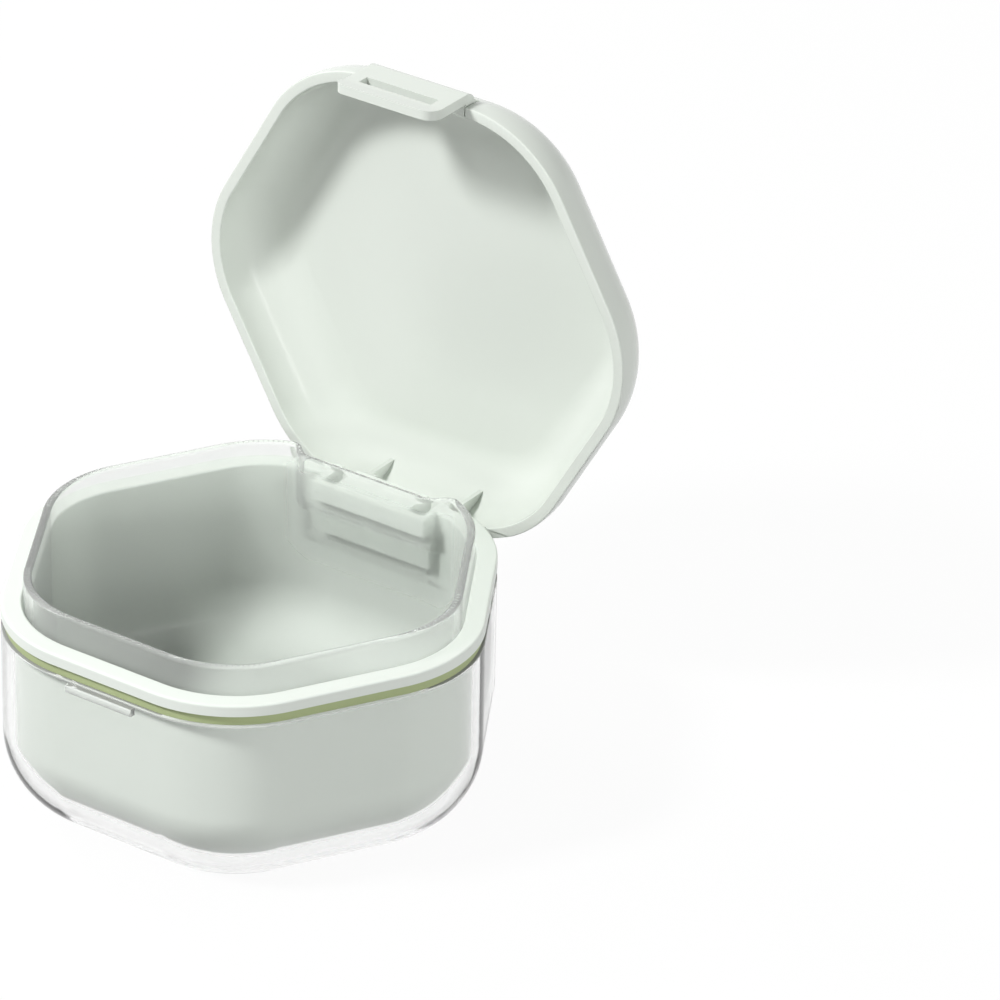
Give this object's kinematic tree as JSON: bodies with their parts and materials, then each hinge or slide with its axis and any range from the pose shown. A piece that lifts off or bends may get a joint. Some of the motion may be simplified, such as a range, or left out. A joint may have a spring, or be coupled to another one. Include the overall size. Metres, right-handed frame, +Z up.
{
  "type": "denture case",
  "caption": "Hexagonal denture bath case with clear outer shell, opaque inner cup, lift-out clear basket, hinged domed lid and a front latch.",
  "frame": {"origin": "middle of the flat face the case rests on", "axes": "+Z up, -Y is the latch side, +Y the hinge side, +X along the hinge pin"},
  "size_m": [0.0938, 0.1093, 0.1232],
  "materials": {
    "clear_plastic": "clear gloss",
    "basket_plastic": "clear gloss",
    "sage_plastic": "satin gloss",
    "lid_plastic": "satin gloss",
    "silicone": "matte",
    "pin_steel": "ground"
  },
  "bodies": {
    "base": {"outer_shell": "clear_plastic", "seal_band": "silicone", "inner_cup": "sage_plastic", "hinge_pin": "pin_steel"},
    "basket": {"basket": "basket_plastic"},
    "lid": {"lid": "lid_plastic", "lid_panel": "lid_plastic", "latch_pin": "pin_steel"},
    "latch": {"latch": "lid_plastic"}
  },
  "joints": [
    {"name": "lid_hinge", "type": "hinge", "parent": "base", "child": "lid", "pos_m": [0, 0.042, 0.0342], "axis": [1, 0, 0], "range_deg": [0, 90]},
    {"name": "latch_hinge", "type": "hinge", "parent": "lid", "child": "latch", "pos_m": [0, 0.0512, 0.1191], "axis": [-1, 0, 0], "range_deg": [0, 60]},
    {"name": "basket_lift", "type": "slide", "parent": "base", "child": "basket", "axis": [0, 0, 1], "range_m": [0, 0.0015]}
  ]
}
